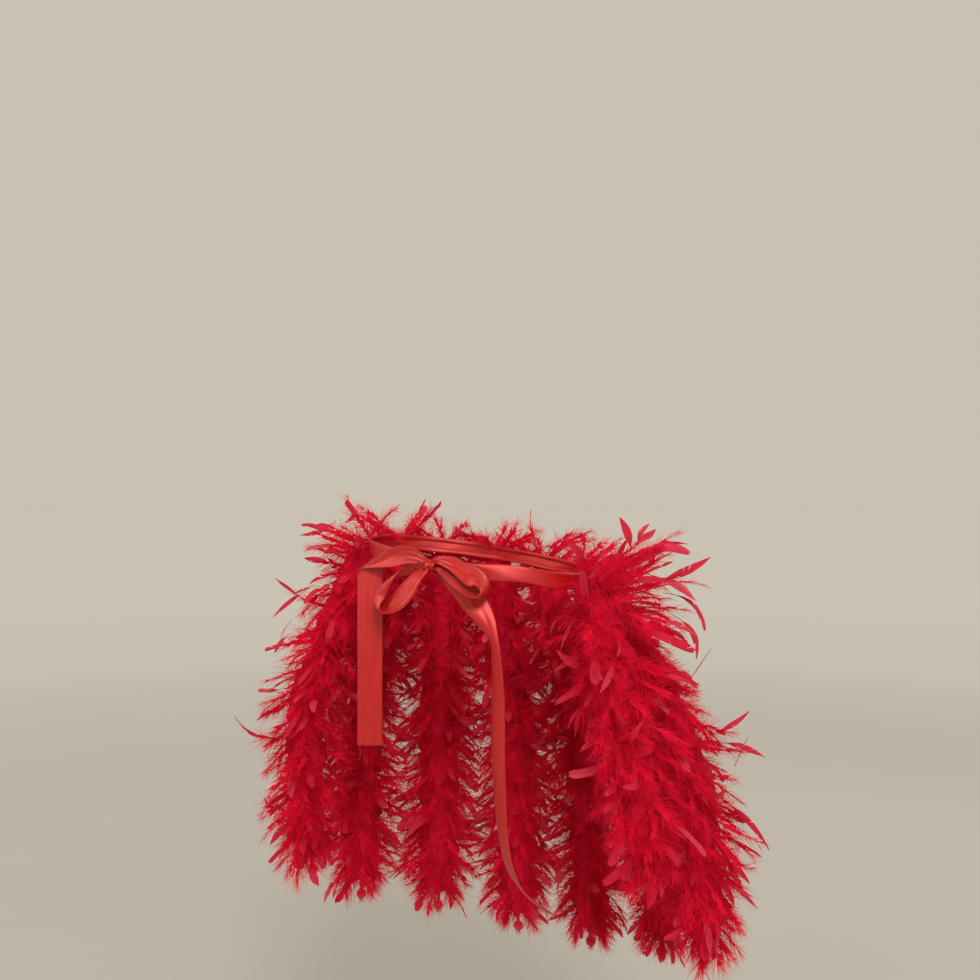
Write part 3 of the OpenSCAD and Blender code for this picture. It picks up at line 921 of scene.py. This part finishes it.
def make_straight_tail():
    """The lead to the wearer's right hip, its slanting fold, and the straight tail that hangs from it."""
    upper = [[3, -103, 5], [-5, -102, 11], [-16, -101, 16.5], [-33, -97.5, 18.5], [-50, -94, 14]]
    lower = [[1, -103, -1], [-6, -101, 0], [-17, -99, 1.5], [-28, -96, 0.5], [-44, -92, -2]]
    upper, lower = np.array(upper) / 1000, np.array(lower) / 1000
    fold_high = np.array([-52, -93.3, 13.2]) / 1000
    fold_low = np.array([-87, -84.5, -6]) / 1000
    lead = np.hstack([(upper + lower) / 2, (upper - lower) / 2])
    fold_row = np.hstack([(fold_high + fold_low) / 2, (fold_high - fold_low) / 2])
    # between the last rows the lower edge runs on to the fold's low point, so the ribbon ends in a point
    lead = smooth_rows(np.vstack([lead, fold_row]), 60)

    def lead_shape(share, across):
        # a crease runs from the fold's point into the ribbon, and the face below it turns up to the light
        crease = np.minimum(-0.9 + 3.6 * (1 - share), 0.15)
        below = np.clip(crease - across, 0, 2) * np.clip((share - 0.45) / 0.25, 0, 1)
        return 0.0016 * (1 - across ** 2) * np.sin(math.pi * share) - 0.0030 * below

    lead_grid = ribbon_grid(lead, 19, lead_shape, gathers(0.0012, 0.20, 3.0, 1.0, both=False))
    low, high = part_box("left_tail")
    bottom = float(low[2])
    front_left = np.array([low[0], low[1], 0.0])
    front_right = np.array([high[0], high[1], 0.0])
    left_top, right_top = fold_low - UP * 0.003, fold_high
    tail = []
    count = 70
    for i in range(count):
        share = max(i / (count - 1), 0.002)
        left = front_left + UP * (left_top[2] + (bottom - left_top[2]) * share)
        right = front_right + UP * (right_top[2] + (bottom - right_top[2]) * share)
        back = np.array([0.0004, 0.0016, 0.0]) * min(1.0, share / 0.02)
        tail.append(np.hstack([(left + right) / 2 + back, (right - left) / 2]))
    tail = np.array(tail)
    tail_grid = ribbon_grid(tail, 19, lambda share, across: 0.0006 * (1 - across ** 2)
                            + 0.0005 * np.sin(share * 9 + across * 1.5) * share)
    grid = np.concatenate([lead_grid, tail_grid])
    made = ribbon_piece("straight_tail", grid)
    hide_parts("left_tail_lead", "left_tail_top", "left_tail")
    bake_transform(made)


RIGHT_TAIL = mm([
    ([4, -102, -1.5], [3, -1, 3]),
    ([11, -99, -5], [5, -1, 4.5]),
    ([22, -98.5, -11.5], [7, 0.5, 6]),
    ([36, -98, -22], [8, 3, 6.5]),
    ([50, -97.5, -36], [8.8, 5.2, 5.5]),
    ([60, -96.5, -50], [7.8, 2, 4]),
    ([67, -95.5, -67], [7, -4.5, 1.4]),
    ([70, -94.5, -92], [9, -7, 0]),
    ([71, -94, -125], [10, -6.5, 0]),
    ([71.3, -94, -170], [10, -6, 0]),
    ([73.3, -94, -215], [9.5, -6.5, 1]),
    ([77.2, -95, -250], [8.5, -7, 2]),
    ([86, -97, -277], [6.5, -7, 4]),
    ([101, -97.5, -295.5], [3.5, -8, 4.5]),
    ([117, -97, -304.5], [2.5, -6, 4.5]),
    ([129, -96, -309.5], [1.2, -2.6, 1.6]),
])


def make_curved_tail():
    """The tail that leaves the knot to the right, turns down and curls outward at its end."""
    rows = smooth_rows(RIGHT_TAIL, 190)

    def tail_shape(share, across):
        # a soft lengthwise fold where the tail turns downward, and a slight cup below it
        fold = np.exp(-((share - 0.20) / 0.07) ** 2) * np.clip(0.35 - np.abs(across - 0.1), 0, 1)
        return 0.0022 * (1 - across ** 2) * np.sin(math.pi * np.sqrt(share)) - 0.0030 * fold

    grid = ribbon_grid(rows, 17, tail_shape, gathers(0.0012, 0.08, 3.0, 0.2, both=False))
    made = ribbon_piece("curved_tail", grid)
    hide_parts("right_tail_lead", "right_tail")
    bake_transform(made)


def make_loose_thread():
    """A thread pulled out of the straight tail's cut end."""
    low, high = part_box("loose_thread")
    top = np.array([(low[0] + high[0]) / 2, (low[1] + high[1]) / 2, high[2]])
    long = float(high[2] - low[2])
    share = np.linspace(0, 1, 30)[:, None]
    line = top - UP * long * share + np.array([0.0018, -0.0008, 0]) * np.sin(share * 4.2) * share
    normal = np.tile(np.array([[1.0, 0, 0]]), (30, 1))
    side = np.tile(np.array([[0, 1.0, 0]]), (30, 1))
    radii = np.repeat(np.linspace(0.00026, 0.00012, 30)[:, None], 6, axis=1)
    thread = new_object("loose_end", tube_rings(line, normal, side, radii), tube_faces(30, 6), THREAD)
    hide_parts("loose_thread")
    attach(thread, "left_tail")


make_waist_band()
make_bow_wrap()
make_loop("loop_right", "bow_loop_right", RIGHT_LOOP)
make_loop("loop_left", "bow_loop_left", LEFT_LOOP)
make_straight_tail()
make_curved_tail()
make_loose_thread()

stitches = frame["nodes"]["strand_stitches"]
stitches.data.materials.clear()
stitches.data.materials.append(THREAD)


# ---------------------------------------------------------------- light and floor
def floor_material():
    n = Nodes("floor")
    place = n.add("ShaderNodeTexCoord").outputs["Object"]
    cloud = n.add("ShaderNodeTexNoise", {"Vector": place, "Scale": 3.0}).outputs["Fac"]
    away = n.add("ShaderNodeVectorMath", {0: place}, operation="LENGTH").outputs["Value"]
    away = n.math("ADD", n.math("MULTIPLY", away, 0.1), n.math("MULTIPLY", cloud, 0.02))
    # painted shade: the floor is darker near the middle and lighter further out, where it meets the world's
    # tone
    colour = n.ramp(away, [(0.1, (0.44, 0.425, 0.39, 1)), (0.3, (0.66, 0.65, 0.63, 1)),
                           (0.6, (0.92, 0.92, 0.92, 1)), (1.0, (1.0, 1.0, 1.0, 1))])
    surface = n.add("ShaderNodeBsdfPrincipled", {"Base Color": colour, "Roughness": 0.9})
    return n.output(surface.outputs[0])


def make_room():
    far, down = 400.0, -1.0
    corners = np.array([[-far, -far, down], [far, -far, down], [far, far, down], [-far, far, down]])
    floor = new_object("floor", corners, [(0, 1, 2, 3)], floor_material())
    world = bpy.data.worlds.new("room")
    bpy.context.scene.world = world
    world.use_nodes = True
    world.node_tree.nodes["Background"].inputs["Color"].default_value = (0.585, 0.533, 0.440, 1)
    world.node_tree.nodes["Background"].inputs["Strength"].default_value = 1.0


def area_light(name, place, target, size, power, colour):
    data = bpy.data.lights.new(name, "AREA")
    data.shape = "DISK"
    data.size = size
    data.energy = power
    data.color = colour
    lamp = bpy.data.objects.new(name, data)
    lamp.location = place
    lamp.rotation_euler = (Vector(target) - Vector(place)).to_track_quat("-Z", "Y").to_euler()
    bpy.context.scene.collection.objects.link(lamp)


make_room()
area_light("key", (1.38, -2.05, 1.5), (0, 0, -0.2), 0.8, 66, (1.0, 0.95, 0.90))
area_light("fill", (-1.75, -1.4, 0.7), (0, 0, -0.2), 0.9, 16, (1.0, 0.96, 0.92))
area_light("back", (0.4, 2.2, 1.4), (0, 0, -0.2), 1.4, 12, (1.0, 0.95, 0.90))
